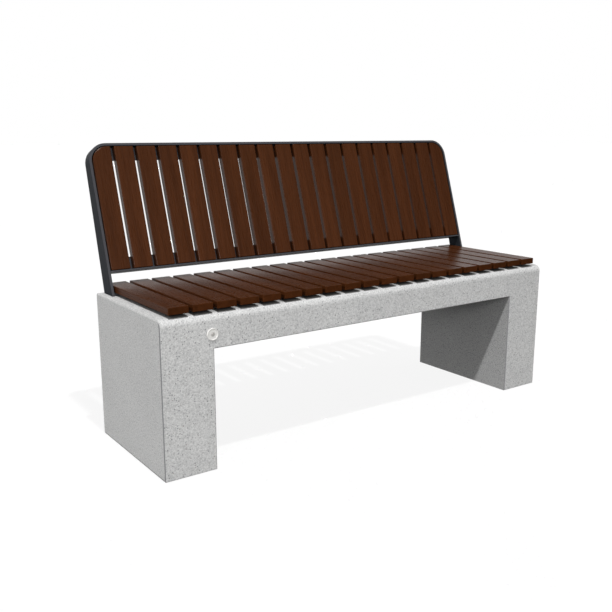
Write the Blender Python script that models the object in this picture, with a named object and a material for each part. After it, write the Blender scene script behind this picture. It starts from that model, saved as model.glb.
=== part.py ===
"""Concrete bench with a slatted seat and a slatted backrest.

A cast concrete portal carries a seat of cross slats on two flat rails. Behind the seat stands a
backrest: a bent flat-bar frame that leans back, two straps across it, and a row of upright slats.
"""
import math

import bmesh
import bpy
from mathutils import Matrix, Vector

# ---- driving dimensions, in metres ----
GAP = 0.0003                  # clearance between pieces that touch

BENCH_LENGTH = 1.500
BASE_DEPTH = 0.446
BASE_HEIGHT = 0.447
LEG_WIDTH = 0.158
SLAB_THICKNESS = 0.098
BASE_FRONT_RADIUS = 0.021     # round-over of the long top edge at the front
BASE_REAR_RADIUS = 0.010      # the same at the back
BASE_CHAMFER = 0.0025         # the foot edges and the mouths of the passage
END_EASE_IN = 0.0045          # the eased rims of the two ends, along the end face
END_EASE_ALONG = 0.0015       # and along the bench
ARC_STEPS = 8                 # flats in each round-over

SLAT_COUNT = 20
SLAT_WIDTH = 0.060
SLAT_THICKNESS = 0.020
BACK_SLAT_THICKNESS = 0.022
SLAT_ROUNDING = 0.0015
SLAT_END_INSET = 0.030        # from each end of the bench to the first slat
SEAT_SLAT_LENGTH = 0.424
SEAT_SLAT_SETBACK = 0.009     # from the front of the base to the ends of the slats

RAIL_WIDTH = 0.040
RAIL_THICKNESS = 0.008
RAIL_LENGTH = 1.420
RAIL_SETBACKS = (0.070, 0.328)   # centre line of each rail, behind the front of the base
RAIL_BOLT_X = 0.560

BACK_TILT = math.radians(18.0)
BACK_SETBACK = 0.361          # front face of the frame at the height of the base's top
BACK_HEIGHT = 0.4632          # along the slope
FRAME_INSET = 0.018           # from each end of the bench to the frame's outer side
FRAME_BAR = 0.008             # thickness of the flat bar
FRAME_RADIUS = 0.058          # outer radius of the two bends
POST_DEPTH_AT_FOOT = 0.061
TOP_BAR_DEPTH = 0.039
BAR_ROUNDING = 0.0008
LOWER_BAR_TOP = 0.0770        # along the slope
LOWER_BAR_THICKNESS = 0.005
LOWER_BAR_DEPTH = 0.037
STRAP_WIDTH = 0.040
STRAP_THICKNESS = 0.005
BACK_SLAT_RECESS = 0.0003     # slats lie this far behind the front of the frame
BACK_SLAT_MARGIN = 0.0015     # between the slats and the frame around them

FOOT_PLATE_LENGTH = 0.104
FOOT_PLATE_WIDTH = 0.050
FOOT_BOLT_OFFSETS = (0.030, 0.078)   # from the inner face of the post

BOLT_SHANK = 0.0080
BOLT_HEAD = 0.0160
BOLT_LENGTH = 0.060
BOLT_HOLE = 0.0100
SOCKET_KEY = 0.0046           # across the corners of the hexagon recess
SOCKET_DEPTH = 0.0025

BADGE_DIAMETER = 0.034
BADGE_THICKNESS = 0.0025
BADGE_X = -0.597
BADGE_Z = 0.390
BADGE_PIN = 0.006
BADGE_PIN_LENGTH = 0.024

# ---- sizes that follow from them ----
HALF_LENGTH = BENCH_LENGTH / 2
SLAT_PITCH = (BENCH_LENGTH - 2 * SLAT_END_INSET - SLAT_WIDTH) / (SLAT_COUNT - 1)
OVERALL_BACK = (BACK_SETBACK + BACK_HEIGHT * math.sin(BACK_TILT)
                + TOP_BAR_DEPTH * math.cos(BACK_TILT))
BASE_FRONT = (BADGE_THICKNESS + GAP - OVERALL_BACK) / 2      # y of the base's front face
FRAME_HALF = HALF_LENGTH - FRAME_INSET
FRAME_INNER_HALF = FRAME_HALF - FRAME_BAR
FRAME_INNER_TOP = BACK_HEIGHT - FRAME_BAR
BEND_INNER_RADIUS = FRAME_RADIUS - FRAME_BAR
RAIL_TOP = BASE_HEIGHT + GAP + RAIL_THICKNESS
PASSAGE_HEIGHT = BASE_HEIGHT - SLAB_THICKNESS
FOOT_PLATE_Y = BASE_FRONT + BACK_SETBACK + POST_DEPTH_AT_FOOT / 2 + 0.001

# ---- materials: colour, roughness, metallic ----
CONCRETE = ("concrete", (0.50, 0.50, 0.51), 0.85, 0.0)
WOOD = ("stained_wood", (0.075, 0.030, 0.015), 0.35, 0.0)
FRAME_STEEL = ("coated_steel", (0.035, 0.040, 0.047), 0.45, 0.3)
RAIL_STEEL = ("rail_steel", (0.030, 0.032, 0.035), 0.5, 0.3)
BOLT_STEEL = ("bolt_steel", (0.55, 0.55, 0.55), 0.3, 1.0)
BADGE_METAL = ("badge_metal", (0.72, 0.68, 0.58), 0.35, 0.9)


def clear_scene():
    """Empties the file the script starts in."""
    for item in list(bpy.data.objects):
        bpy.data.objects.remove(item, do_unlink=True)


def material(spec):
    """Returns the Principled material with this name, making it the first time."""
    name, colour, roughness, metallic = spec
    found = bpy.data.materials.get(name)
    if found:
        return found
    made = bpy.data.materials.new(name)
    made.use_nodes = True
    shader = made.node_tree.nodes["Principled BSDF"]
    shader.inputs["Base Color"].default_value = (*colour, 1.0)
    shader.inputs["Roughness"].default_value = roughness
    shader.inputs["Metallic"].default_value = metallic
    made.diffuse_color = (*colour, 1.0)
    return made


def add_object(name, mesh_builder, spec, location=(0, 0, 0), parent=None, smooth_angle=None):
    """Turns a bmesh into a named object with one material."""
    mesh = bpy.data.meshes.new(name)
    bmesh.ops.recalc_face_normals(mesh_builder, faces=mesh_builder.faces)
    mesh_builder.to_mesh(mesh)
    mesh_builder.free()
    mesh.materials.append(material(spec))
    if smooth_angle is not None:
        mesh.shade_smooth()
        mesh.set_sharp_from_angle(angle=smooth_angle)
    made = bpy.data.objects.new(name, mesh)
    made.location = location
    made.parent = parent
    bpy.context.scene.collection.objects.link(made)
    return made


def loft(rings):
    """Joins rings of equal point count into one closed skin with a cap at each end."""
    builder = bmesh.new()
    rows = [[builder.verts.new(point) for point in ring] for ring in rings]
    count = len(rows[0])
    for lower, upper in zip(rows, rows[1:]):
        for i in range(count):
            j = (i + 1) % count
            builder.faces.new((lower[i], lower[j], upper[j], upper[i]))
    builder.faces.new(rows[0])
    builder.faces.new(rows[-1])
    return builder


def extrude_outline(outline, thickness):
    """A flat plate: the outline lies in X and Z, the thickness runs along +Y."""
    front = [Vector((x, 0.0, z)) for x, z in outline]
    back = [Vector((x, thickness, z)) for x, z in outline]
    return loft([front, back])


def slab_profile(inset):
    """The side view of the base as (y, z) points, its outline drawn in by the inset."""
    half_y = BASE_DEPTH / 2
    foot = BASE_CHAMFER
    points = [(half_y - inset, foot + inset), (half_y - foot - inset, inset),
              (foot + inset - half_y, inset), (inset - half_y, foot + inset)]
    for radius, side in ((BASE_FRONT_RADIUS, -1), (BASE_REAR_RADIUS, 1)):
        centre_y = side * (half_y - radius)
        centre_z = BASE_HEIGHT - radius
        for step in range(ARC_STEPS + 1):
            share = step / ARC_STEPS if side < 0 else 1 - step / ARC_STEPS
            angle = math.pi / 2 * share
            points.append((centre_y + side * (radius - inset) * math.cos(angle),
                           centre_z + (radius - inset) * math.sin(angle)))
    return points


def add_bevel(item, width, segments):
    """Rounds every edge sharper than 40 degrees."""
    bevel = item.modifiers.new("edge_rounding", "BEVEL")
    bevel.width = width
    bevel.segments = segments
    bevel.limit_method = "ANGLE"
    bevel.angle_limit = math.radians(40.0)


def box(size_x, size_y, size_z):
    """A box standing on z = 0 and centred on x and y."""
    builder = bmesh.new()
    scale = Matrix.Diagonal((size_x, size_y, size_z, 1.0))
    shift = Matrix.Translation((0.0, 0.0, size_z / 2))
    bmesh.ops.create_cube(builder, size=1.0, matrix=shift @ scale)
    return builder


def turned(profile, sides):
    """A solid of revolution about Z from (radius, height) points, lowest first."""
    rings = []
    for radius, height in profile:
        rings.append([(radius * math.cos(math.tau * i / sides),
                       radius * math.sin(math.tau * i / sides), height) for i in range(sides)])
    return loft(rings)


def cut(item, cutter):
    """Takes the cutter's shape out of the object."""
    cutter.hide_render = True
    cutter.display_type = "WIRE"
    boolean = item.modifiers.new("cut_" + cutter.name, "BOOLEAN")
    boolean.operation = "DIFFERENCE"
    boolean.solver = "EXACT"
    boolean.object = cutter


def bolt_places():
    """Where each countersunk bolt stands: its name, x and y, the same for plates and holes."""
    places = []
    for rail_name, setback in zip(("front", "rear"), RAIL_SETBACKS):
        for side_name, side in (("left", -1), ("right", 1)):
            name = "rail_bolt_" + rail_name + "_" + side_name
            places.append((name, side * RAIL_BOLT_X, BASE_FRONT + setback))
    for side_name, side in (("left", -1), ("right", 1)):
        for order, offset in zip(("outer", "inner"), FOOT_BOLT_OFFSETS):
            name = "anchor_bolt_" + side_name + "_" + order
            places.append((name, side * (FRAME_INNER_HALF - offset), FOOT_PLATE_Y))
    return places


def add_base():
    """The cast portal: a slab on two legs, its two long top edges rounded over."""
    half_y = BASE_DEPTH / 2
    rings = []
    for x, inset in ((-HALF_LENGTH, END_EASE_IN), (END_EASE_ALONG - HALF_LENGTH, 0.0),
                     (HALF_LENGTH - END_EASE_ALONG, 0.0), (HALF_LENGTH, END_EASE_IN)):
        rings.append([(x, y, z) for y, z in slab_profile(inset)])
    centre_y = BASE_FRONT + half_y
    base = add_object("concrete_base", loft(rings), CONCRETE, (0, centre_y, 0),
                      smooth_angle=math.radians(35.0))

    # the passage between the legs, its two mouths flared to make the chamfer
    half_gap = HALF_LENGTH - LEG_WIDTH
    below = 0.050
    stations = ((-half_y - BASE_CHAMFER, 2 * BASE_CHAMFER), (-half_y + BASE_CHAMFER, 0.0),
                (half_y - BASE_CHAMFER, 0.0), (half_y + BASE_CHAMFER, 2 * BASE_CHAMFER))
    rings = []
    for y, flare in stations:
        side = half_gap + flare
        top = PASSAGE_HEIGHT + flare
        rings.append([(-side, y, -below), (side, y, -below), (side, y, top), (-side, y, top)])
    passage = add_object("passage_cutter", loft(rings), CONCRETE, (0, centre_y, 0))
    cut(base, passage)

    for name, x, y in bolt_places():
        hole = turned([(BOLT_HOLE / 2, -BOLT_LENGTH - 0.004), (BOLT_HOLE / 2, 0.010)], 16)
        cut(base, add_object("hole_for_" + name, hole, CONCRETE, (x, y, BASE_HEIGHT)))

    pin_hole = turned([(BADGE_PIN / 2 + GAP, -0.010), (BADGE_PIN / 2 + GAP, BADGE_PIN_LENGTH + 0.002)], 16)
    pin_cutter = add_object("hole_for_badge_pin", pin_hole, CONCRETE, (BADGE_X, BASE_FRONT, BADGE_Z))
    pin_cutter.rotation_euler = (-math.pi / 2, 0, 0)
    cut(base, pin_cutter)


def add_badge():
    """A plain round plate with a raised rim and a centre boss, on a pin in the concrete."""
    radius = BADGE_DIAMETER / 2
    face = BADGE_THICKNESS - 0.0010
    rim = 0.0022
    boss = 0.0045
    profile = [(radius, 0.0), (radius, BADGE_THICKNESS - 0.0004), (radius - 0.0004, BADGE_THICKNESS),
               (radius - rim, BADGE_THICKNESS), (radius - rim - 0.0006, face),
               (boss + 0.0006, face), (boss, BADGE_THICKNESS - 0.0003), (boss - 0.0012, BADGE_THICKNESS)]
    badge = add_object("badge_disc", turned(profile, 36), BADGE_METAL,
                       (BADGE_X, BASE_FRONT - GAP, BADGE_Z), smooth_angle=math.radians(30.0))
    badge.rotation_euler = (math.pi / 2, 0, 0)

    pin = turned([(BADGE_PIN / 2 - 0.0006, 0.0), (BADGE_PIN / 2, 0.0010),
                  (BADGE_PIN / 2, BADGE_PIN_LENGTH)], 16)
    pin_object = add_object("badge_pin", pin, BOLT_STEEL,
                            (BADGE_X, BASE_FRONT + BADGE_PIN_LENGTH, BADGE_Z),
                            smooth_angle=math.radians(30.0))
    pin_object.rotation_euler = (math.pi / 2, 0, 0)


def add_seat():
    """Two flat rails on the slab and the row of slats across them."""
    for name, setback in zip(("front", "rear"), RAIL_SETBACKS):
        rail = add_object("seat_rail_" + name, box(RAIL_LENGTH, RAIL_WIDTH, RAIL_THICKNESS), RAIL_STEEL,
                          (0, BASE_FRONT + setback, BASE_HEIGHT + GAP))
        add_bevel(rail, BAR_ROUNDING, 1)
        countersink(rail, "rail_bolt_" + name)

    slat_y = BASE_FRONT + SEAT_SLAT_SETBACK + SEAT_SLAT_LENGTH / 2
    for number in range(SLAT_COUNT):
        slat_x = -HALF_LENGTH + SLAT_END_INSET + SLAT_WIDTH / 2 + number * SLAT_PITCH
        slat = add_object(f"seat_slat_{number + 1:02d}", box(SLAT_WIDTH, SEAT_SLAT_LENGTH, SLAT_THICKNESS),
                          WOOD, (slat_x, slat_y, RAIL_TOP + GAP), smooth_angle=math.radians(60.0))
        add_bevel(slat, SLAT_ROUNDING, 2)


def countersink(plate, bolt_prefix):
    """Cuts the tapered holes for every bolt whose name starts with the prefix."""
    top = RAIL_TOP
    head_depth = (BOLT_HEAD - BOLT_SHANK) / 2
    for name, x, y in bolt_places():
        if name.startswith(bolt_prefix):
            clear = 2 * GAP
            profile = [(BOLT_SHANK / 2 + clear, -RAIL_THICKNESS - 0.002),
                       (BOLT_SHANK / 2 + clear, -head_depth - GAP),
                       (BOLT_HEAD / 2 + clear, -GAP), (BOLT_HEAD / 2 + clear, 0.002)]
            cut(plate, add_object("seat_of_" + name, turned(profile, 24), RAIL_STEEL, (x, y, top)))


def add_bolts():
    """Countersunk socket bolts that hold the rails and the feet of the backrest to the slab."""
    head_depth = (BOLT_HEAD - BOLT_SHANK) / 2
    shank = BOLT_SHANK / 2
    head_top = -0.0005
    for name, x, y in bolt_places():
        profile = [(shank - 0.001, -BOLT_LENGTH), (shank, -BOLT_LENGTH + 0.001),
                   (shank, -head_depth - 0.0005), (BOLT_HEAD / 2, head_top - 0.0003),
                   (BOLT_HEAD / 2 - 0.0003, head_top)]
        bolt = add_object(name, turned(profile, 24), BOLT_STEEL, (x, y, RAIL_TOP),
                          smooth_angle=math.radians(30.0))
        key = turned([(SOCKET_KEY / 2, -SOCKET_DEPTH), (SOCKET_KEY / 2, 0.002)], 6)
        cut(bolt, add_object("key_of_" + name, key, BOLT_STEEL, (x, y, RAIL_TOP + head_top)))


def frame_section(outer, inward, depth, foot_rise):
    """One cross section of the flat bar, its four corners rounded, as points in X, Y and Z.

    outer is the point on the bar's outer face, inward the unit direction to its inner face.
    foot_rise lifts the points towards the back, for the level cut at the foot of a post.
    """
    corners = ((0.0, 0.0), (FRAME_BAR, 0.0), (FRAME_BAR, depth), (0.0, depth))
    points = []
    steps = 2
    for index, (across, back) in enumerate(corners):
        centre_across = BAR_ROUNDING if across == 0.0 else FRAME_BAR - BAR_ROUNDING
        centre_back = BAR_ROUNDING if back == 0.0 else depth - BAR_ROUNDING
        for step in range(steps + 1):
            angle = math.pi + math.pi / 2 * (index + step / steps)
            a = centre_across + BAR_ROUNDING * math.cos(angle)
            b = centre_back + BAR_ROUNDING * math.sin(angle)
            points.append((outer[0] + inward[0] * a, b, outer[1] + inward[1] * a + foot_rise * b))
    return points


def add_back(lean):
    """The leaning backrest: bent frame, lower bar, two straps and the upright slats."""
    # the bent flat bar, followed from the foot of the left post to the foot of the right post
    bend_start = BACK_HEIGHT - FRAME_RADIUS
    foot = GAP / math.cos(BACK_TILT)
    stations = [((-FRAME_HALF, foot), (1.0, 0.0), POST_DEPTH_AT_FOOT, math.tan(BACK_TILT))]
    bend_steps = 10
    for side in (-1, 1):
        centre_x = side * (FRAME_HALF - FRAME_RADIUS)
        for step in range(bend_steps + 1):
            turn = step / bend_steps if side < 0 else 1 - step / bend_steps
            angle = math.pi / 2 * turn
            out = (side * math.cos(angle), math.sin(angle))
            point = (centre_x + FRAME_RADIUS * out[0], bend_start + FRAME_RADIUS * out[1])
            stations.append((point, (-out[0], -out[1]), TOP_BAR_DEPTH, 0.0))
    stations.append(((FRAME_HALF, foot), (-1.0, 0.0), POST_DEPTH_AT_FOOT, math.tan(BACK_TILT)))
    rings = [frame_section(*station) for station in stations]
    add_object("back_frame", loft(rings), FRAME_STEEL, parent=lean, smooth_angle=math.radians(35.0))

    lower_bar = add_object("back_lower_bar",
                           box(2 * (FRAME_INNER_HALF - GAP), LOWER_BAR_DEPTH, LOWER_BAR_THICKNESS),
                           FRAME_STEEL, (0, LOWER_BAR_DEPTH / 2, LOWER_BAR_TOP - LOWER_BAR_THICKNESS), lean)
    add_bevel(lower_bar, BAR_ROUNDING, 2)

    # straps behind the slats, the upper one shaped to fit inside the bends
    strap_y = BACK_SLAT_RECESS + BACK_SLAT_THICKNESS + GAP
    upper = [strap_corner(side) for side in (-1, 1)]
    strap_bottom = FRAME_INNER_TOP - GAP - STRAP_WIDTH
    left_edge = upper[0][0][0]
    outline = [(left_edge, strap_bottom)] + upper[0] + upper[1][::-1] + [(-left_edge, strap_bottom)]
    upper_strap = add_object("back_strap_upper", extrude_outline(outline, STRAP_THICKNESS), FRAME_STEEL,
                             (0, strap_y, 0), lean, smooth_angle=math.radians(35.0))
    lower_strap = add_object("back_strap_lower",
                             box(2 * (FRAME_INNER_HALF - GAP), STRAP_THICKNESS, STRAP_WIDTH), FRAME_STEEL,
                             (0, strap_y + STRAP_THICKNESS / 2, LOWER_BAR_TOP + GAP), lean)
    for strap in (upper_strap, lower_strap):
        add_bevel(strap, BAR_ROUNDING, 1)

    # the slats, the first and last with one corner rounded to follow the bend
    slat_bottom = LOWER_BAR_TOP + BACK_SLAT_MARGIN
    slat_top = FRAME_INNER_TOP - BACK_SLAT_MARGIN
    for number in range(SLAT_COUNT):
        slat_x = -HALF_LENGTH + SLAT_END_INSET + SLAT_WIDTH / 2 + number * SLAT_PITCH
        half = SLAT_WIDTH / 2
        side = {0: -1, SLAT_COUNT - 1: 1}.get(number, 0)
        if side:
            outline = end_slat_outline(side, half, slat_bottom, slat_top)
        else:
            outline = [(-half, slat_bottom), (-half, slat_top), (half, slat_top), (half, slat_bottom)]
        slat = add_object(f"back_slat_{number + 1:02d}", extrude_outline(outline, BACK_SLAT_THICKNESS), WOOD,
                          (slat_x, BACK_SLAT_RECESS, 0), lean, smooth_angle=math.radians(60.0))
        add_bevel(slat, SLAT_ROUNDING, 2)


def strap_corner(side):
    """Points round one upper end of the upper strap, from its outer side to its top."""
    radius = BEND_INNER_RADIUS - GAP
    centre_x = side * (FRAME_INNER_HALF - BEND_INNER_RADIUS)
    centre_z = FRAME_INNER_TOP - BEND_INNER_RADIUS
    start = math.asin((FRAME_INNER_TOP - GAP - STRAP_WIDTH - centre_z) / radius)
    steps = 8
    points = []
    for step in range(1, steps + 1):
        angle = start + (math.pi / 2 - start) * step / steps
        points.append((centre_x + side * radius * math.cos(angle), centre_z + radius * math.sin(angle)))
    return points


def end_slat_outline(side, half, bottom, top):
    """Outline of an end slat in its own X and Z, its upper outer corner rounded."""
    radius = BEND_INNER_RADIUS - BACK_SLAT_MARGIN
    steps = 10
    corner = []
    for step in range(steps + 1):
        angle = math.pi / 2 * step / steps
        corner.append((side * (half - radius + radius * math.cos(angle)),
                       top - radius + radius * math.sin(angle)))
    return [(side * half, bottom)] + corner + [(-side * half, top), (-side * half, bottom)]


def add_feet():
    """Flat plates at the foot of each post, bolted down under the seat."""
    for side_name, side in (("left", -1), ("right", 1)):
        plate_x = side * (FRAME_INNER_HALF - GAP - FOOT_PLATE_LENGTH / 2)
        plate = add_object("back_foot_" + side_name,
                           box(FOOT_PLATE_LENGTH, FOOT_PLATE_WIDTH, RAIL_THICKNESS), FRAME_STEEL,
                           (plate_x, FOOT_PLATE_Y, BASE_HEIGHT + GAP))
        add_bevel(plate, BAR_ROUNDING, 1)
        countersink(plate, "anchor_bolt_" + side_name)


def build():
    """Makes the whole bench."""
    clear_scene()
    add_base()
    add_badge()
    add_seat()
    add_bolts()
    lean = bpy.data.objects.new("back_lean", None)
    lean.location = (0, BASE_FRONT + BACK_SETBACK, BASE_HEIGHT)
    lean.rotation_euler = (-BACK_TILT, 0, 0)
    bpy.context.scene.collection.objects.link(lean)
    add_back(lean)
    add_feet()


build()
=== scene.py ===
import math
import bmesh
import bpy
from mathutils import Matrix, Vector


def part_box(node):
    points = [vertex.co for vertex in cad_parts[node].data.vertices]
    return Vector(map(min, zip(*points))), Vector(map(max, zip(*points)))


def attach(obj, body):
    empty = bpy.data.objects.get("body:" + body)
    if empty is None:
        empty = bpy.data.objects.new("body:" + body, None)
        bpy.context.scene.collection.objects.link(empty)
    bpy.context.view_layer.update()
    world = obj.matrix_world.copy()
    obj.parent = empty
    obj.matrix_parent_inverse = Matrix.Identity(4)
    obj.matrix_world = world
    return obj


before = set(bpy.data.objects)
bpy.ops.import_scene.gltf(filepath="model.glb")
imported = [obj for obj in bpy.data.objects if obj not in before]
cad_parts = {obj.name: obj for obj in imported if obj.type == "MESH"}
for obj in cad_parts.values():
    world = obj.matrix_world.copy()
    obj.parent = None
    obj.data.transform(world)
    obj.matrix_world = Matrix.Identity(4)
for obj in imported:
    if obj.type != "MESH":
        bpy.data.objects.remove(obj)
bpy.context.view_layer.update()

# ---- studio ----
# A white paper floor that runs out of sight, a white surround, a key light from high in
# front, one from the left, a low one from behind, and a soft panel beside the camera.
# Everything is placed from the front left lower corner of the concrete base.
base_low, base_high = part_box("concrete_base")
corner = Vector((base_low[0], base_low[1], 0.0))

FLOOR_RADIUS = 60.0
FLOOR_DROP = 0.0005      # keeps the paper clear of the underside of the legs
floor_mesh = bpy.data.meshes.new("studio_floor")
floor_shape = bmesh.new()
bmesh.ops.create_circle(floor_shape, cap_ends=True, segments=96, radius=FLOOR_RADIUS)
floor_shape.to_mesh(floor_mesh)
floor_shape.free()
floor = bpy.data.objects.new("studio_floor", floor_mesh)
bpy.context.scene.collection.objects.link(floor)
floor.location.z = -FLOOR_DROP
floor.visible_diffuse = False
floor.visible_glossy = False

paper = bpy.data.materials.new("white_paper")
paper.use_nodes = True
paper_shader = paper.node_tree.nodes["Principled BSDF"]
paper_shader.inputs["Base Color"].default_value = (0.10, 0.10, 0.10, 1.0)
paper_shader.inputs["Roughness"].default_value = 1.0
paper_shader.inputs["Specular IOR Level"].default_value = 0.0
paper_shader.inputs["Emission Color"].default_value = (1.0, 1.0, 1.0, 1.0)
paper_shader.inputs["Emission Strength"].default_value = 0.878
floor_mesh.materials.append(paper)

scene = bpy.context.scene
scene.view_settings.view_transform = "Standard"
scene.view_settings.look = "None"

# the surround is seen as plain white, lights the bench mostly from just above the horizon,
# and only its wall behind the bench shows in the gloss
surround = bpy.data.worlds.new("white_surround")
scene.world = surround
surround.use_nodes = True
sky = surround.node_tree
sky_out = sky.nodes["World Output"]
room_light = sky.nodes["Background"]
room_light.inputs["Strength"].default_value = 0.94
toward = sky.nodes.new("ShaderNodeTexCoord")
heading = sky.nodes.new("ShaderNodeSeparateXYZ")
sky.links.new(toward.outputs["Generated"], heading.inputs[0])
sky_tone = sky.nodes.new("ShaderNodeValToRGB")
sky_tone.color_ramp.elements[0].color = (0.04, 0.04, 0.04, 1.0)
sky_tone.color_ramp.elements[1].color = (0.45, 0.45, 0.45, 1.0)
horizon = sky_tone.color_ramp.elements.new(0.05)
horizon.color = (1.0, 1.0, 1.0, 1.0)
sky.links.new(heading.outputs["Z"], sky_tone.inputs[0])
sky.links.new(sky_tone.outputs[0], room_light.inputs["Color"])
white_wall = sky.nodes.new("ShaderNodeBackground")
white_wall.inputs["Color"].default_value = (1.0, 1.0, 1.0, 1.0)
white_wall.inputs["Strength"].default_value = 1.0
behind_bench = sky.nodes.new("ShaderNodeMapRange")
behind_bench.inputs["From Min"].default_value = 0.05
behind_bench.inputs["From Max"].default_value = 0.35
sky.links.new(heading.outputs["Y"], behind_bench.inputs["Value"])
mirrored_wall = sky.nodes.new("ShaderNodeBackground")
mirrored_wall.inputs["Strength"].default_value = 1.0
sky.links.new(behind_bench.outputs[0], mirrored_wall.inputs["Color"])
light_path = sky.nodes.new("ShaderNodeLightPath")
direct_or_room = sky.nodes.new("ShaderNodeMixShader")
sky.links.new(light_path.outputs["Is Camera Ray"], direct_or_room.inputs[0])
sky.links.new(room_light.outputs[0], direct_or_room.inputs[1])
sky.links.new(white_wall.outputs[0], direct_or_room.inputs[2])
with_mirrored = sky.nodes.new("ShaderNodeMixShader")
sky.links.new(light_path.outputs["Is Glossy Ray"], with_mirrored.inputs[0])
sky.links.new(direct_or_room.outputs[0], with_mirrored.inputs[1])
sky.links.new(mirrored_wall.outputs[0], with_mirrored.inputs[2])
sky.links.new(with_mirrored.outputs[0], sky_out.inputs["Surface"])


def aim(item, direction):
    """Points a lamp or camera along a direction."""
    item.rotation_euler = Vector(direction).to_track_quat("-Z", "Y").to_euler()


def add_sun(name, direction, strength, width):
    """A distant lamp; width is how wide it looks, in degrees."""
    lamp = bpy.data.lights.new(name, "SUN")
    lamp.energy = strength
    lamp.angle = math.radians(width)
    item = bpy.data.objects.new(name, lamp)
    aim(item, direction)
    scene.collection.objects.link(item)
    return item


KEY_DIRECTION = (0.005, 0.405, -1.0)
KEY_WIDTH = 2.0
key_light = add_sun("key_light", KEY_DIRECTION, 1.35, KEY_WIDTH)
side_light = add_sun("side_light", (0.80, 0.232, -0.56), 1.58, 1.8)
rear_light = add_sun("rear_light", (-0.60, -0.80, -0.04), 1.3, 8.0)
rear_light.visible_glossy = False

PANEL_PLACE = Vector((-0.9, -3.2, 1.6))   # from the corner of the base
panel = bpy.data.lights.new("front_panel", "AREA")
panel.shape = "DISK"
panel.size = 1.4
panel.energy = 53.0
front_panel = bpy.data.objects.new("front_panel", panel)
front_panel.location = corner + PANEL_PLACE
aim(front_panel, (0.40, 0.86, -0.35))
scene.collection.objects.link(front_panel)

# the side and rear lights and the panel fall on the bench only, so the floor keeps one plain shadow
bench_only = bpy.data.collections.new("bench_only")
bench_only.objects.link(floor)
for member in bench_only.collection_objects:
    member.light_linking.link_state = "EXCLUDE"
for lamp_item in (side_light, rear_light, front_panel):
    lamp_item.light_linking.receiver_collection = bench_only

# the key falls on the floor a second time, so its shadow reads on the bright paper
floor_light = add_sun("floor_light", KEY_DIRECTION, 2.7, KEY_WIDTH)
floor_only = bpy.data.collections.new("floor_only")
floor_only.objects.link(floor)
floor_light.light_linking.receiver_collection = floor_only

CAMERA_PLACE = Vector((-0.8109, -1.8075, 0.9207))   # from the corner of the base
CAMERA_DOWN = 0.2192     # radians below level
CAMERA_TURN = 0.6127     # radians to the right of straight ahead
lens = bpy.data.cameras.new("camera")
lens.sensor_width = 36.0
lens.lens = 46.03
camera = bpy.data.objects.new("camera", lens)
camera.location = corner + CAMERA_PLACE
camera.rotation_euler = (math.pi / 2 - CAMERA_DOWN, 0.0, -CAMERA_TURN)
scene.collection.objects.link(camera)
scene.camera = camera


# ---- concrete base ----
# One casting of light grey terrazzo concrete, a slab on two legs. It is cast upside down
# in a steel mould and acid etched, so dark and pale chips of stone show in the face.
def new_material(name):
    """A material with its tree, its Principled shader and the place on the object in metres."""
    made = bpy.data.materials.new(name)
    made.use_nodes = True
    tree = made.node_tree
    place = tree.nodes.new("ShaderNodeTexCoord").outputs["Object"]
    return made, tree, tree.nodes["Principled BSDF"], place


def noise(tree, place, scale, detail=2.0, rough=0.5, warp=0.0):
    """Soft cloud noise from 0 to 1; scale is features a metre."""
    node = tree.nodes.new("ShaderNodeTexNoise")
    node.inputs["Scale"].default_value = scale
    node.inputs["Detail"].default_value = detail
    node.inputs["Roughness"].default_value = rough
    node.inputs["Distortion"].default_value = warp
    tree.links.new(place, node.inputs["Vector"])
    return node.outputs[0]


def ramp(tree, value, *stops):
    """Turns a value into colours between (position, (r, g, b)) stops."""
    node = tree.nodes.new("ShaderNodeValToRGB")
    strip = node.color_ramp
    while len(strip.elements) < len(stops):
        strip.elements.new(0.5)
    for element, (position, colour) in zip(strip.elements, stops):
        element.position = position
        element.color = (*colour, 1.0)
    tree.links.new(value, node.inputs[0])
    return node.outputs[0]


def fade(tree, value, low, high, to_low=0.0, to_high=1.0):
    """Maps low..high smoothly to to_low..to_high."""
    node = tree.nodes.new("ShaderNodeMapRange")
    node.interpolation_type = "SMOOTHSTEP"
    node.inputs["From Min"].default_value = low
    node.inputs["From Max"].default_value = high
    node.inputs["To Min"].default_value = to_low
    node.inputs["To Max"].default_value = to_high
    tree.links.new(value, node.inputs["Value"])
    return node.outputs[0]


def sums(tree, operation, first, second):
    """One step of arithmetic on two values, each a socket or a number."""
    node = tree.nodes.new("ShaderNodeMath")
    node.operation = operation
    for socket, value in zip(node.inputs, (first, second)):
        if isinstance(value, (int, float)):
            socket.default_value = value
        else:
            tree.links.new(value, socket)
    return node.outputs[0]


def blend(tree, amount, first, second, way="MIX"):
    """Mixes two colours, each a socket or (r, g, b)."""
    node = tree.nodes.new("ShaderNodeMix")
    node.data_type = "RGBA"
    node.blend_type = way
    if isinstance(amount, (int, float)):
        node.inputs[0].default_value = amount
    else:
        tree.links.new(amount, node.inputs[0])
    for socket, value in ((node.inputs[6], first), (node.inputs[7], second)):
        if isinstance(value, tuple):
            socket.default_value = (*value, 1.0)
        else:
            tree.links.new(value, socket)
    return node.outputs[2]


def bump(tree, shader, height, strength, distance):
    """Relief on the shader; distance is its depth in metres."""
    node = tree.nodes.new("ShaderNodeBump")
    node.inputs["Strength"].default_value = strength
    node.inputs["Distance"].default_value = distance
    tree.links.new(height, node.inputs["Height"])
    tree.links.new(node.outputs[0], shader.inputs["Normal"])


def absolute(tree, value):
    """The size of a value without its sign."""
    return sums(tree, "ABSOLUTE", value, 0.0)


def both(tree, *shares):
    """Where every one of several shares from 0 to 1 is high."""
    result = shares[0]
    for share in shares[1:]:
        result = sums(tree, "MULTIPLY", result, share)
    return result


def split(tree, vector):
    """The x, y and z of a vector."""
    node = tree.nodes.new("ShaderNodeSeparateXYZ")
    tree.links.new(vector, node.inputs[0])
    return node.outputs


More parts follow.
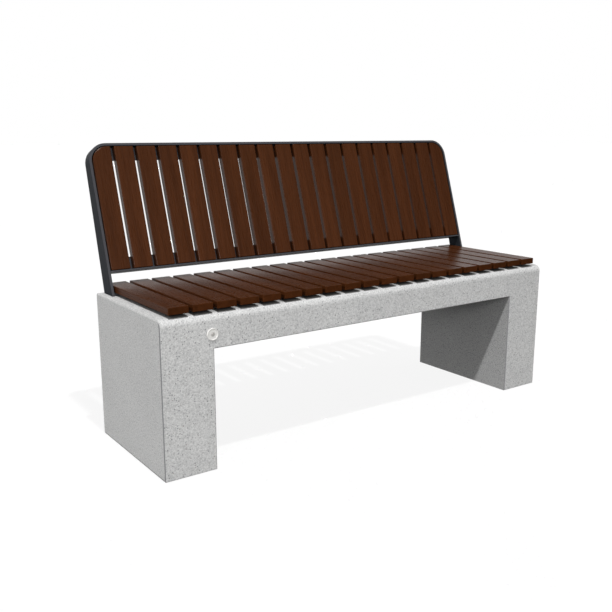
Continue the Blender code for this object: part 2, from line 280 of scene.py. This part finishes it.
def dress(material, start):
    """Puts a material on every CAD piece whose name begins with start."""
    for name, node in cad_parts.items():
        if name.startswith(start):
            node.data.materials[0] = material


def chips(tree, place, scale, share, size):
    """Stone chips: a share of the cells hold one, size is its radius as part of a cell."""
    cells = tree.nodes.new("ShaderNodeTexVoronoi")
    cells.inputs["Scale"].default_value = scale
    cells.inputs["Randomness"].default_value = 1.0
    tree.links.new(place, cells.inputs["Vector"])
    lot = tree.nodes.new("ShaderNodeSeparateColor")
    tree.links.new(cells.outputs["Color"], lot.inputs[0])
    picked = sums(tree, "LESS_THAN", lot.outputs[0], share)
    reach = sums(tree, "MULTIPLY", fade(tree, lot.outputs[1], 0.0, 1.0, 0.45, 1.0), size)
    inside = sums(tree, "SUBTRACT", reach, cells.outputs["Distance"])
    edge = fade(tree, inside, 0.0, size * 0.35)
    return sums(tree, "MULTIPLY", picked, edge), lot.outputs[2]


CHIP_WOBBLE = 0.0028     # how far the outline of a chip wanders
# painted shade for a dark line on the upright arrises at both ends
ARRIS_SHADE_COLOUR = (0.21, 0.21, 0.215)
PASSAGE_REACH = 0.600    # the passage walls lie within this of the middle
# share of painted shade on the walls of the passage
PASSAGE_SHADE = 0.36
# painted shade on the slab under the seat boards
UNDER_BOARD_SHADE_COLOUR = (0.045, 0.042, 0.040)
UNDER_BOARD_SHADE_COVER = 0.85
EDGE_FADE = 0.003        # painted shade under the boards and on the passage walls fades out over this width
TOP_SKIN = 0.004         # the painted shade under the boards lies only within this of the top of the slab
concrete, tree, shader, place = new_material("terrazzo_concrete")
wobble = tree.nodes.new("ShaderNodeVectorMath")
wobble.operation = "MULTIPLY_ADD"
stir = tree.nodes.new("ShaderNodeTexNoise")
stir.inputs["Scale"].default_value = 260.0
tree.links.new(place, stir.inputs["Vector"])
tree.links.new(stir.outputs["Color"], wobble.inputs[0])
wobble.inputs[1].default_value = (CHIP_WOBBLE, CHIP_WOBBLE, CHIP_WOBBLE)
tree.links.new(place, wobble.inputs[2])
broken = wobble.outputs[0]

# cement, sand, then grey grit, pale chips and dark chips
cement = ramp(tree, noise(tree, place, 7.0, 3.0, 0.6), (0.30, (0.50, 0.50, 0.497)),
              (0.72, (0.535, 0.535, 0.53)))
sand = ramp(tree, noise(tree, place, 240.0, 3.0, 0.8), (0.30, (0.60, 0.60, 0.61)), (0.50, (1.0, 1.0, 1.0)),
            (0.70, (1.28, 1.28, 1.27)))
face = blend(tree, 1.0, cement, sand, "MULTIPLY")
grit = chips(tree, broken, 260.0, 0.38, 0.46)[0]
face = blend(tree, sums(tree, "MULTIPLY", grit, 0.75), face, (0.25, 0.255, 0.265))
pale = chips(tree, broken, 170.0, 0.22, 0.40)[0]
face = blend(tree, sums(tree, "MULTIPLY", pale, 0.5), face, (0.70, 0.70, 0.69))
dark, dark_tone = chips(tree, broken, 165.0, 0.26, 0.36)
stone = ramp(tree, dark_tone, (0.0, (0.10, 0.10, 0.105)), (0.55, (0.17, 0.175, 0.19)),
             (1.0, (0.25, 0.22, 0.20)))
face = blend(tree, sums(tree, "MULTIPLY", dark, 0.85), face, stone)

# the upright arrises at both ends get a dark line of painted shade
normal = split(tree, tree.nodes.new("ShaderNodeNewGeometry").outputs["Normal"])
endwise = absolute(tree, normal["X"])
arris_shade = both(tree, fade(tree, endwise, 0.20, 0.30), fade(tree, endwise, 0.985, 0.965),
           fade(tree, normal["Z"], 0.35, 0.15))
face = blend(tree, arris_shade, face, ARRIS_SHADE_COLOUR)

# the walls of the passage get painted shade, a share darker than the rest of the casting
spot = split(tree, place)
from_middle = absolute(tree, spot["X"])
walls = both(tree, fade(tree, from_middle, PASSAGE_REACH, PASSAGE_REACH - EDGE_FADE),
             fade(tree, endwise, 0.94, 0.98))
face = blend(tree, sums(tree, "MULTIPLY", walls, PASSAGE_SHADE), face, (0.0, 0.0, 0.0))

# painted shade on the slab under each seat board
first_low, first_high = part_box("seat_slat_01")
second_low, second_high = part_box("seat_slat_02")
board_pitch = second_low[0] - first_low[0]
board_middle = (first_low[0] + first_high[0]) / 2
half_board = (first_high[0] - first_low[0]) / 2
from_board = sums(tree, "PINGPONG", sums(tree, "SUBTRACT", spot["X"], board_middle), board_pitch / 2)
under = both(tree, fade(tree, from_board, half_board, half_board - EDGE_FADE),
             fade(tree, spot["Y"], first_low[1], first_low[1] + EDGE_FADE),
             fade(tree, spot["Y"], first_high[1], first_high[1] - EDGE_FADE),
             fade(tree, from_middle, -first_low[0], -first_low[0] - EDGE_FADE),
             fade(tree, spot["Z"], base_high[2] - TOP_SKIN, base_high[2] - TOP_SKIN / 2))
face = blend(tree, sums(tree, "MULTIPLY", under, UNDER_BOARD_SHADE_COVER), face, UNDER_BOARD_SHADE_COLOUR)
tree.links.new(face, shader.inputs["Base Color"])
shine = sums(tree, "SUBTRACT", 0.86, sums(tree, "MULTIPLY", dark, 0.25))
tree.links.new(shine, shader.inputs["Roughness"])
shader.inputs["Specular IOR Level"].default_value = 0.3
pits = fade(tree, noise(tree, place, 900.0, 2.0, 0.6), 0.32, 0.6)
bump(tree, shader, pits, 0.35, 0.0004)
dress(concrete, "concrete_base")


# ---- badge ----
# A plain round plate of pale metal on the front of the left leg, held by a pin in the
# concrete. It carries no mark.
RING_PITCH = 0.0022      # turned rings, from one to the next
GROOVE_START = 0.0008    # flat half width between two grooves
# painted shade in the middle of the badge, full inside the inner radius and gone past the outer
CENTRE_SHADE_OUTER = 0.0070
CENTRE_SHADE_INNER = 0.0050
badge_low, badge_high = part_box("badge_disc")
plate, tree, shader, place = new_material("pale_badge_metal")
turning = noise(tree, place, 2600.0, 2.0, 0.5)
from_centre = tree.nodes.new("ShaderNodeVectorMath")
from_centre.operation = "DISTANCE"
tree.links.new(place, from_centre.inputs[0])
from_centre.inputs[1].default_value = [(low + high) / 2 for low, high in zip(badge_low, badge_high)]
radius = from_centre.outputs["Value"]
enamel = ramp(tree, turning, (0.3, (0.80, 0.79, 0.76)), (0.7, (0.92, 0.91, 0.88)))
# the grooves are a bump, and the darker colour in them is painted shade
groove = fade(tree, sums(tree, "PINGPONG", radius, RING_PITCH / 2), GROOVE_START, RING_PITCH / 2)
enamel = blend(tree, sums(tree, "MULTIPLY", groove, 0.35), enamel, (0.42, 0.41, 0.40))
# painted shade darkens the middle of the badge
centre_shade = fade(tree, radius, CENTRE_SHADE_OUTER, CENTRE_SHADE_INNER)
enamel = blend(tree, sums(tree, "MULTIPLY", centre_shade, 0.6), enamel, (0.26, 0.24, 0.22))
tree.links.new(enamel, shader.inputs["Base Color"])
tree.links.new(fade(tree, turning, 0.2, 0.8, 0.32, 0.5), shader.inputs["Roughness"])
bump(tree, shader, groove, 0.4, -0.0002)
shader.inputs["Metallic"].default_value = 0.2
dress(plate, "badge")


# ---- seat rails and their bolts ----
# Two flat steel bars lie along the slab and carry the boards. Each is held down by two
# countersunk stainless bolts in the concrete; so are the two feet of the backrest.
def powder_coat(name, low, high, front_highlight, peel, sheen):
    """Powder coat between two colours, with a painted highlight on the faces turned to the front, and a
    fine orange peel.
    """
    made, tree, shader, place = new_material(name)
    cloud = noise(tree, place, 9.0, 4.0, 0.6)
    colour = ramp(tree, cloud, (0.3, low), (0.7, high))
    normal = split(tree, tree.nodes.new("ShaderNodeNewGeometry").outputs["Normal"])
    # painted highlight: faces turned to the front take the lighter front colour
    front_highlight_share = fade(tree, normal["Y"], -0.60, -0.90)
    tree.links.new(blend(tree, front_highlight_share, colour, front_highlight), shader.inputs["Base Color"])
    grain = noise(tree, place, 1400.0, 1.0, 0.4)
    tree.links.new(fade(tree, cloud, 0.3, 0.7, 0.38, 0.48), shader.inputs["Roughness"])
    shader.inputs["Specular IOR Level"].default_value = sheen
    bump(tree, shader, grain, peel, 0.00015)
    return made


# the third colour is a painted highlight on faces turned to the front
rail_coat = powder_coat("black_rail_coat", (0.020, 0.021, 0.024), (0.028, 0.029, 0.032),
                        (0.030, 0.031, 0.034), 0.2, 0.2)
dress(rail_coat, "seat_rail")

stainless, tree, shader, place = new_material("stainless_bolt")
swirl = noise(tree, place, 1800.0, 2.0, 0.5)
steel_tone = ramp(tree, swirl, (0.3, (0.50, 0.50, 0.51)), (0.7, (0.66, 0.66, 0.66)))
tree.links.new(steel_tone, shader.inputs["Base Color"])
tree.links.new(fade(tree, swirl, 0.2, 0.8, 0.25, 0.42), shader.inputs["Roughness"])
shader.inputs["Metallic"].default_value = 1.0
for bolts in ("rail_bolt", "anchor_bolt"):
    dress(stainless, bolts)


# ---- seat boards ----
# Twenty planed hardwood boards lie across the rails, from front to back. Each is
# stained dark brown and oiled, its edges eased, and screwed from below.
WOOD_STAINS = ((0.042, 0.0127, 0.0039), (0.054, 0.0166, 0.0051), (0.067, 0.0206, 0.0064))
GRAIN_STRETCH = 0.055    # scale of the grain along a board, as a part of that across it
row_start = first_low[0] - (second_low[0] - first_high[0]) / 2


def stained_wood(name, lean, strength, sheen):
    """Dark stained hardwood; lean tips the boards' length up from level, strength lightens the stain, and
    differs between the seat and back copies as painted light.
    """
    made, tree, shader, place = new_material(name)
    turn = tree.nodes.new("ShaderNodeMapping")
    turn.vector_type = "POINT"
    turn.inputs["Rotation"].default_value = (-lean, 0.0, 0.0)
    tree.links.new(place, turn.inputs["Vector"])
    axes = split(tree, turn.outputs[0])
    from_start = sums(tree, "SUBTRACT", axes["X"], row_start)
    number = sums(tree, "FLOOR", sums(tree, "DIVIDE", from_start, board_pitch), 0.0)
    lot = tree.nodes.new("ShaderNodeTexWhiteNoise")
    lot.noise_dimensions = "1D"
    tree.links.new(sums(tree, "ADD", number, 0.5), lot.inputs["W"])
    shares = tree.nodes.new("ShaderNodeSeparateColor")
    tree.links.new(lot.outputs["Color"], shares.inputs[0])

    # each board is cut from another place in the log
    log = tree.nodes.new("ShaderNodeCombineXYZ")
    across = sums(tree, "ADD", axes["X"], sums(tree, "MULTIPLY", shares.outputs[0], 9.0))
    along = sums(tree, "ADD", axes["Y"], sums(tree, "MULTIPLY", shares.outputs[1], 7.0))
    tree.links.new(across, log.inputs[0])
    tree.links.new(along, log.inputs[1])
    tree.links.new(axes["Z"], log.inputs[2])
    stretch = tree.nodes.new("ShaderNodeMapping")
    stretch.inputs["Scale"].default_value = (1.0, GRAIN_STRETCH, 1.0)
    tree.links.new(log.outputs[0], stretch.inputs["Vector"])
    fibre_place = stretch.outputs[0]

    figure = noise(tree, fibre_place, 42.0, 4.0, 0.55, 0.6)
    fibre = noise(tree, fibre_place, 420.0, 3.0, 0.6)
    pores = noise(tree, fibre_place, 1100.0, 2.0, 0.5)
    dark_stain, mid_stain, light_stain = ([part * strength for part in tone] for tone in WOOD_STAINS)
    stain = ramp(tree, figure, (0.28, dark_stain), (0.52, mid_stain), (0.75, light_stain))
    fine = ramp(tree, fibre, (0.30, (0.88, 0.87, 0.86)), (0.65, (1.06, 1.06, 1.06)))
    colour = blend(tree, 0.8, stain, fine, "MULTIPLY")
    open_pores = fade(tree, pores, 0.34, 0.42, 0.35, 0.0)
    colour = blend(tree, open_pores, colour, (0.020, 0.0085, 0.0050))
    board_tone = ramp(tree, shares.outputs[2], (0.0, (0.93, 0.93, 0.92)), (1.0, (1.07, 1.06, 1.05)))
    colour = blend(tree, 1.0, colour, board_tone, "MULTIPLY")
    tree.links.new(colour, shader.inputs["Base Color"])
    tree.links.new(fade(tree, fibre, 0.25, 0.75, 0.24, 0.36), shader.inputs["Roughness"])
    shader.inputs["Specular IOR Level"].default_value = sheen
    relief = sums(tree, "ADD", sums(tree, "MULTIPLY", fibre, 0.6), sums(tree, "MULTIPLY", pores, 0.4))
    bump(tree, shader, relief, 0.25, 0.0003)
    return made


# the seat copy of the stain is set darker than the back copy, as painted light for the light on the seat
# tops
dress(stained_wood("stained_seat_wood", 0.0, 0.90, 0.032), "seat_slat")


# ---- backrest frame ----
# A bent flat bar makes the two posts and the top, with a lower bar, two straps behind
# the boards and two feet welded to it, all powder coated dark grey.
# the third colour is a painted highlight on faces turned to the front
frame_coat = powder_coat("dark_grey_powder_coat", (0.0130, 0.0150, 0.0185), (0.0165, 0.0185, 0.0225),
                         (0.0580, 0.0580, 0.0640), 0.25, 0.02)
for part_name in ("back_frame", "back_lower_bar", "back_strap", "back_foot"):
    dress(frame_coat, part_name)


# ---- welds of the backrest ----
# Each strap and the lower bar are welded to the posts with a short bead at both ends,
# laid in overlapping drops and then coated with the frame.
STRAP_THICKNESS = 0.005
STRAP_WIDTH = 0.040
LOWER_BAR_THICKNESS = 0.005
LOWER_BAR_DEPTH = 0.037
WELD_SHARE = 0.8         # part of a joint's length that the bead covers
WELD_LEG = 0.0035
WELD_DROP = 0.0032       # from one drop of weld to the next
WELD_SINK = 0.0006       # the root of the bead lies this far inside both pieces
WELD_RIPPLE = 0.10       # how much a drop stands over the dip beside it, as a part of the leg
WELD_TAPER = 0.75        # part of the leg lost at the ends of a bead
WELD_STEPS = 56
WELD_ARC_STEPS = 6
UPPER_WELD_LENGTH = 0.020
UPPER_WELD_LEG = 0.0055
UPPER_WELD_RISE = -0.0095
lean = math.radians(18.0)
behind = Vector((0.0, math.cos(lean), -math.sin(lean)))
up_slope = Vector((0.0, math.sin(lean), math.cos(lean)))


def skin_rings(shape, rings):
    """Joins closed rings of points into one body, with both ends closed."""
    for low_ring, high_ring in zip(rings, rings[1:]):
        for near in range(len(low_ring)):
            far = (near + 1) % len(low_ring)
            shape.faces.new((low_ring[near], low_ring[far], high_ring[far], high_ring[near]))
    shape.faces.new(rings[0])
    shape.faces.new(list(reversed(rings[-1])))


def add_weld(shape, middle, along, length, to_plate, to_post, size):
    """One rippled bead in the corner at middle, running both ways along a unit vector."""
    rings = []
    for step in range(WELD_STEPS + 1):
        part = step / WELD_STEPS
        swell = 1.0 - abs(2.0 * part - 1.0) ** 6 * WELD_TAPER
        ripple = 1.0 + WELD_RIPPLE * math.cos(2.0 * math.pi * part * length / WELD_DROP)
        leg = size * swell * ripple
        spot = middle + along * (part - 0.5) * length - (to_plate + to_post) * WELD_SINK
        ring = [shape.verts.new(spot)]
        for turn in range(WELD_ARC_STEPS + 1):
            angle = math.pi / 2 * turn / WELD_ARC_STEPS
            outward = to_plate * math.sin(angle) + to_post * math.cos(angle)
            ring.append(shape.verts.new(spot + outward * leg))
        rings.append(ring)
    skin_rings(shape, rings)


def finish_piece(name, shape, material):
    """Turns a built shape into a smooth named piece that belongs to the fixed bench."""
    bmesh.ops.recalc_face_normals(shape, faces=shape.faces)
    for side in shape.faces:
        side.smooth = True
    mesh = bpy.data.meshes.new(name)
    shape.to_mesh(mesh)
    shape.free()
    mesh.set_sharp_from_angle(angle=math.radians(50.0))
    mesh.materials.append(material)
    piece = bpy.data.objects.new(name, mesh)
    scene.collection.objects.link(piece)
    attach(piece, "root")


weld_shape = bmesh.new()
low, high = (Vector(end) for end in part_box("back_lower_bar"))
post_left, post_right = low.x, high.x
# the upper strap ends short of the posts, below the bends, so its bead is wider and lower
for name, rise, length, size in (
        ("back_strap_upper", UPPER_WELD_RISE, UPPER_WELD_LENGTH, UPPER_WELD_LEG),
        ("back_strap_lower", 0.0, STRAP_WIDTH * WELD_SHARE, WELD_LEG)):
    strap_low, strap_high = (Vector(end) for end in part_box(name))
    rear_middle = (strap_low + strap_high) / 2 + behind * STRAP_THICKNESS / 2 + up_slope * rise
    for end_x, inward in ((post_left, 1.0), (post_right, -1.0)):
        spot = Vector((end_x, rear_middle.y, rear_middle.z))
        add_weld(weld_shape, spot, up_slope, length, behind, Vector((inward, 0.0, 0.0)), size)
under_middle = (low + high) / 2 - up_slope * LOWER_BAR_THICKNESS / 2
for end_x, inward in ((post_left, 1.0), (post_right, -1.0)):
    spot = Vector((end_x, under_middle.y, under_middle.z))
    add_weld(weld_shape, spot, behind, LOWER_BAR_DEPTH * WELD_SHARE, -up_slope,
             Vector((inward, 0.0, 0.0)), WELD_LEG)
finish_piece("backrest_welds", weld_shape, frame_coat)


# ---- back boards ----
# Twenty boards of the same stained hardwood stand side by side in the frame, level with
# its front edge, screwed through the straps from behind.
# the back copy of the stain is set lighter than the seat's, as painted light for the light on the board
# fronts
dress(stained_wood("stained_back_wood", math.pi / 2 - lean, 1.06, 0.20), "back_slat")


# ---- screws of the back boards ----
# Two stainless pan head screws hold each back board, one through each strap from behind.
# They are turned and cold headed, with a six lobe socket.
SCREW_HEAD_RADIUS = 0.0048
SCREW_HEAD_HEIGHT = 0.0026
SOCKET_RADIUS = 0.0020
SOCKET_DEPTH = 0.0016
SCREW_SINK = 0.0002      # the head is pulled this far into the coat of the strap
SCREW_SIDES = 36
LOBES = 6
LOBE_DEPTH = 0.16


def add_screw(shape, seat):
    """One screw head standing on the rear face of a strap at seat."""
    sideways = Vector((1.0, 0.0, 0.0))
    # from under the rim over the dome: radius and height as parts of the head, share of the lobe wave
    dome = ((0.92, 0.0, 0.0), (1.0, 0.12, 0.0), (1.0, 0.34, 0.0), (0.94, 0.66, 0.0), (0.80, 0.88, 0.0),
            (0.62, 0.98, 0.0), (0.50, 1.0, 0.2))
    outline = [(radius * SCREW_HEAD_RADIUS, rise * SCREW_HEAD_HEIGHT, wave) for radius, rise, wave in dome]
    outline += [(SOCKET_RADIUS * 1.06, SCREW_HEAD_HEIGHT * 0.99, 1.0),
                (SOCKET_RADIUS, SCREW_HEAD_HEIGHT * 0.93, 1.0),
                (SOCKET_RADIUS * 0.97, SCREW_HEAD_HEIGHT - SOCKET_DEPTH, 1.0)]
    rings = []
    for radius, rise, wave in outline:
        ring = []
        for step in range(SCREW_SIDES):
            angle = 2.0 * math.pi * step / SCREW_SIDES
            reach = radius * (1.0 + LOBE_DEPTH * wave * math.cos(LOBES * angle))
            outward = sideways * math.cos(angle) + up_slope * math.sin(angle)
            ring.append(shape.verts.new(seat + behind * (rise - SCREW_SINK) + outward * reach))
        rings.append(ring)
    skin_rings(shape, rings)


for strap, piece_name in (("back_strap_upper", "upper_strap_screws"),
                          ("back_strap_lower", "lower_strap_screws")):
    low, high = (Vector(end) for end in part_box(strap))
    rear_middle = (low + high) / 2 + behind * STRAP_THICKNESS / 2
    screw_shape = bmesh.new()
    for name in sorted(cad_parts):
        if name.startswith("back_slat"):
            board_low, board_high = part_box(name)
            middle = (board_low[0] + board_high[0]) / 2
            add_screw(screw_shape, Vector((middle, rear_middle.y, rear_middle.z)))
    finish_piece(piece_name, screw_shape, stainless)
